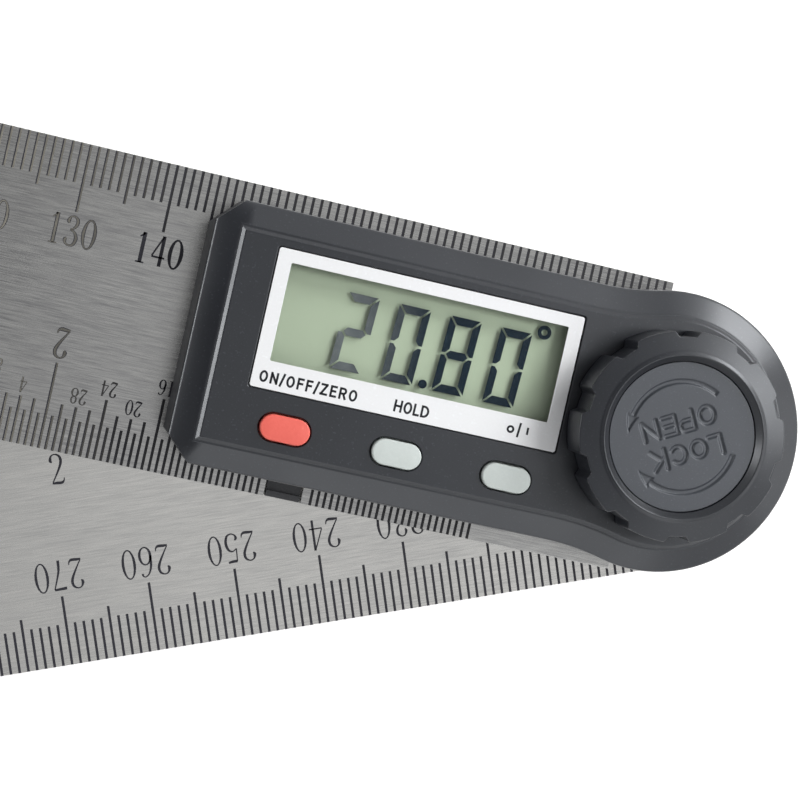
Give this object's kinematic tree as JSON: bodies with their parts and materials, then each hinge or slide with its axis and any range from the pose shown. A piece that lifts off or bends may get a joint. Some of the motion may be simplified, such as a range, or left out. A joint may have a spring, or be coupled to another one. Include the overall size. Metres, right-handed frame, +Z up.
{
  "type": "digital angle finder with arms",
  "caption": "Digital angle finder: graduated steel blades on a locking pivot, with a display housing, push buttons and a slide-out battery tray.",
  "frame": {"origin": "on the pivot axis, on the flat underside of the lower blade's pivot hub, which is the plane that the tool lies on", "axes": "+Z up through the lock knob; -X along the upper blade towards its free end; +Y towards the upper blade's millimetre edge; the lower blade is turned 20.8 degrees from -X towards -Y"},
  "size_m": [0.2162, 0.1047, 0.0203],
  "materials": {
    "blade_steel": "brushed along the blade, scales engraved and filled black",
    "turned_steel": "turned and bright",
    "brass": "machined",
    "bronze": "sintered",
    "black_plastic": "fine spark texture",
    "knob_plastic": "fine satin",
    "white_print": "satin printed sheet",
    "clear_window": "clear polished",
    "display_glass": "grey-green reflective display",
    "strip_rubber": "layered conductive rubber",
    "board_green": "solder mask",
    "epoxy_black": "potting resin",
    "contact_metal": "plated spring metal",
    "white_plastic": "low friction sheet",
    "red_button": "satin rubbery",
    "grey_button": "satin rubbery"
  },
  "bodies": {
    "upper_arm": {"upper_blade": "blade_steel", "pivot_bush": "bronze", "blade_washer": "white_plastic", "housing_cover": "black_plastic", "display_bezel": "white_print", "display_window": "clear_window", "lcd_glass": "display_glass", "zebra_strip_upper": "strip_rubber", "zebra_strip_lower": "strip_rubber", "circuit_board": "board_green", "processor_blob": "epoxy_black", "dome_switch_on_off": "contact_metal", "dome_switch_hold": "contact_metal", "dome_switch_units": "contact_metal", "battery_contact_plus": "contact_metal", "battery_contact_minus": "contact_metal", "case_screw_1": "turned_steel", "case_screw_2": "turned_steel", "case_screw_3": "turned_steel", "case_screw_4": "turned_steel", "board_screw_1": "turned_steel", "board_screw_2": "turned_steel"},
    "lower_arm": {"lower_blade": "blade_steel", "pivot_hub": "turned_steel", "wave_washer": "contact_metal", "rotor_carrier": "brass", "encoder_rotor": "board_green"},
    "clamp_washer": {"clamp_washer": "turned_steel"},
    "lock_knob": {"lock_knob": "knob_plastic", "knob_nut": "brass", "knob_cap": "knob_plastic"},
    "button_on_off": {"button_on_off": "red_button"},
    "button_hold": {"button_hold": "grey_button"},
    "button_units": {"button_units": "grey_button"},
    "battery_tray": {"battery_tray": "black_plastic", "coin_cell": "turned_steel"}
  },
  "joints": [
    {"name": "arm_pivot", "type": "hinge", "parent": "upper_arm", "child": "lower_arm", "pos_m": [0, 0, 0], "axis": [0, 0, 1], "continuous": true},
    {"name": "knob_lift", "type": "slide", "parent": "lower_arm", "child": "clamp_washer", "axis": [0, 0, 1], "range_m": [0, 0.000937]},
    {"name": "knob_turn", "type": "hinge", "parent": "clamp_washer", "child": "lock_knob", "pos_m": [0, 0, 0.0165], "axis": [0, 0, 1], "range_deg": [0, 270]},
    {"name": "on_off_press", "type": "slide", "parent": "upper_arm", "child": "button_on_off", "axis": [0, 0, -1], "range_m": [0, 0.0005], "stiffness_N_per_m": 400, "springref_m": -0.0005},
    {"name": "hold_press", "type": "slide", "parent": "upper_arm", "child": "button_hold", "axis": [0, 0, -1], "range_m": [0, 0.0005], "stiffness_N_per_m": 400, "springref_m": -0.0005},
    {"name": "units_press", "type": "slide", "parent": "upper_arm", "child": "button_units", "axis": [0, 0, -1], "range_m": [0, 0.0005], "stiffness_N_per_m": 400, "springref_m": -0.0005},
    {"name": "battery_slide", "type": "slide", "parent": "upper_arm", "child": "battery_tray", "axis": [0, -1, 0], "range_m": [0, 0.023]}
  ],
  "couplings": [
    {"joint": "knob_turn", "follows": "knob_lift", "rad_per_m": 5026.5}
  ]
}
